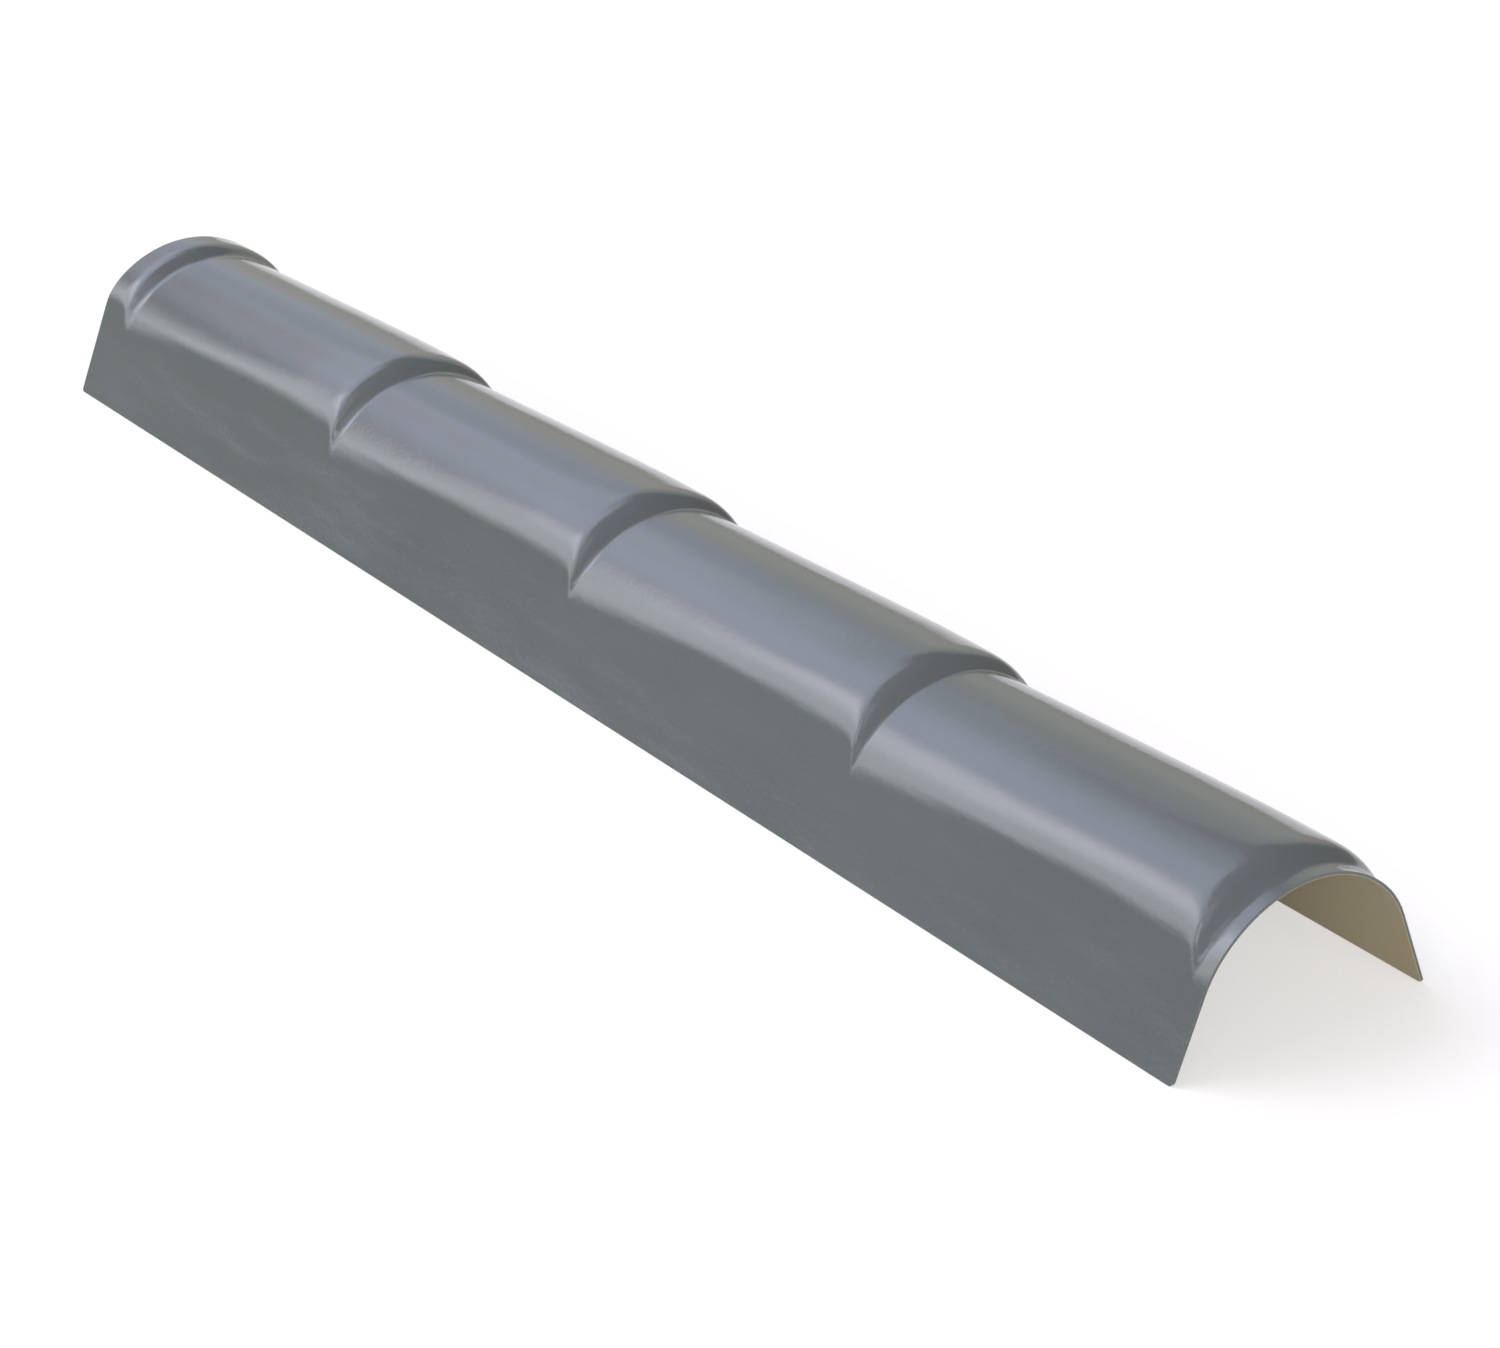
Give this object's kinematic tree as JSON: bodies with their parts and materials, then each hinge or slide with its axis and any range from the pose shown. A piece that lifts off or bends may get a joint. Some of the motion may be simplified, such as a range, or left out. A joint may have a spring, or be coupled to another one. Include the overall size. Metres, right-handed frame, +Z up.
{
  "type": "roof ridge cap",
  "caption": "Long arched moulded-sheet cap with stepped tile-shaped barrels and sloping flanks; it covers and sheds water from a roof ridge.",
  "frame": {"origin": "middle of the footprint, at the level of the two foot edges", "axes": "+X along the ridge from the tail end to the mouth end, +Y across the ridge, +Z up"},
  "size_m": [1.456, 0.221, 0.1245],
  "materials": {
    "sheet": "semi-gloss grey weather face, cream back face"
  },
  "bodies": {
    "root": {"ridge_cap": "sheet"}
  },
  "joints": []
}
